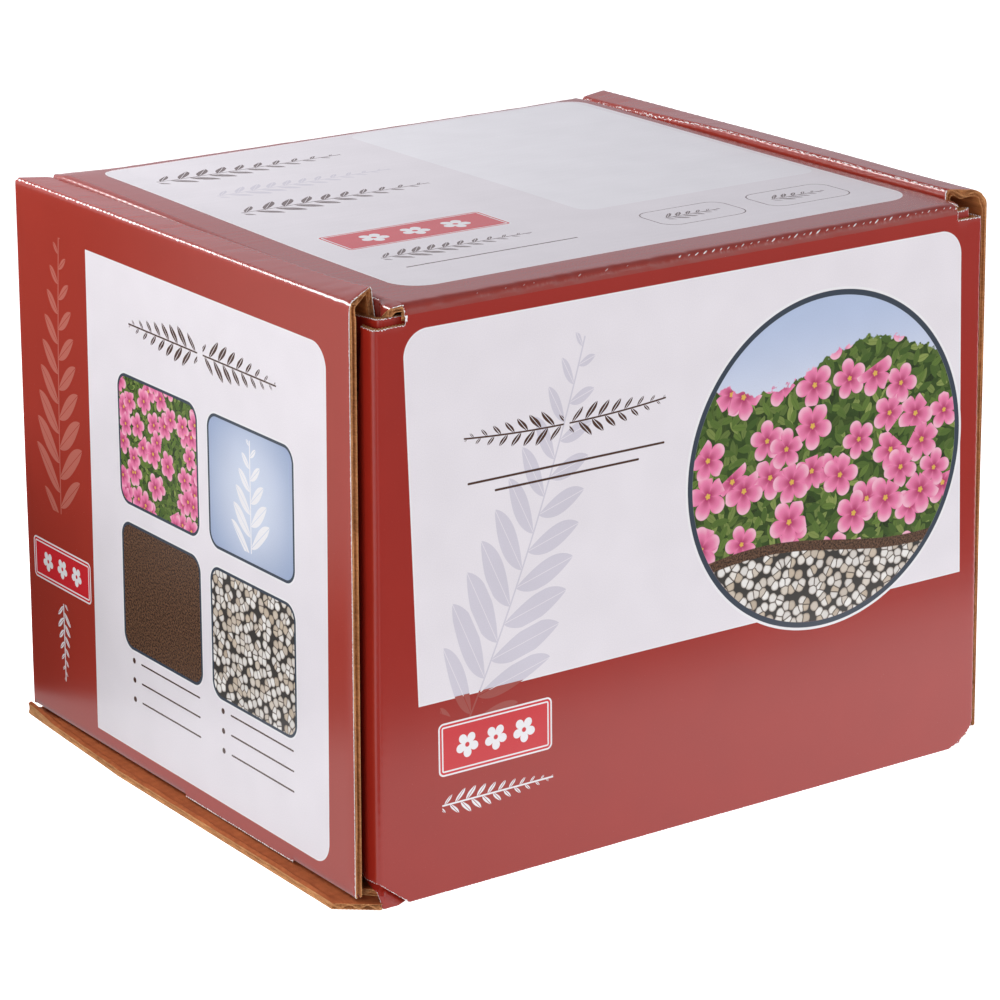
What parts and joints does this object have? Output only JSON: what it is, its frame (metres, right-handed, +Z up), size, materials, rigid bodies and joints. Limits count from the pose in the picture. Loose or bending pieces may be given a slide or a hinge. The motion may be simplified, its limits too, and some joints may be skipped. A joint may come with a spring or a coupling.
{
  "type": "corrugated roll-end mailer carton",
  "caption": "Closed corrugated carton: tray with double side walls, lid hinged at the back with dust flaps, front flap tucked down outside the front wall, glossy printed outside.",
  "frame": {"origin": "on the ground under the middle of the carton's outer box", "axes": "+X to the contents' right side (seen from the front), +Y from the front flap to the back wall, +Z up"},
  "size_m": [0.426, 0.35, 0.3135],
  "materials": {
    "printed_pale": "glossy litho print, pale panels on a brick-red border",
    "printed_red": "glossy litho print, brick red-brown",
    "kraft": "bare brown kraft liner, matt"
  },
  "bodies": {
    "tray": {"base_panel": "kraft", "tray_floor": "kraft", "front_wall": "printed_red", "back_wall": "printed_red", "front_corner_flap_left": "printed_red", "front_corner_flap_right": "printed_red", "back_corner_flap_left": "printed_red", "back_corner_flap_right": "printed_red", "outer_wall_left": "printed_pale", "outer_wall_right": "printed_red", "rim_left": "printed_red", "rim_right": "printed_red", "inner_wall_left": "printed_red", "inner_wall_right": "printed_red"},
    "lid": {"lid_panel": "printed_pale"},
    "front_flap": {"front_flap_panel": "printed_pale", "front_flap_ear_left": "printed_red", "front_flap_ear_right": "printed_red"},
    "dust_flap_left_body": {"dust_flap_left": "printed_red"},
    "dust_flap_right_body": {"dust_flap_right": "printed_red"}
  },
  "joints": [
    {"name": "lid_hinge", "type": "hinge", "parent": "tray", "child": "lid", "pos_m": [0, 0.175, 0.3075], "axis": [-1, 0, 0], "range_deg": [0, 180]},
    {"name": "front_flap_hinge", "type": "hinge", "parent": "lid", "child": "front_flap", "pos_m": [0, -0.175, 0.3075], "axis": [-1, 0, 0], "range_deg": [0, 90]},
    {"name": "dust_flap_left_hinge", "type": "hinge", "parent": "lid", "child": "dust_flap_left_body", "pos_m": [-0.17445, 0, 0.30385], "axis": [0, -1, 0], "range_deg": [0, 85]},
    {"name": "dust_flap_right_hinge", "type": "hinge", "parent": "lid", "child": "dust_flap_right_body", "pos_m": [0.17445, 0, 0.30385], "axis": [0, 1, 0], "range_deg": [0, 85]}
  ]
}
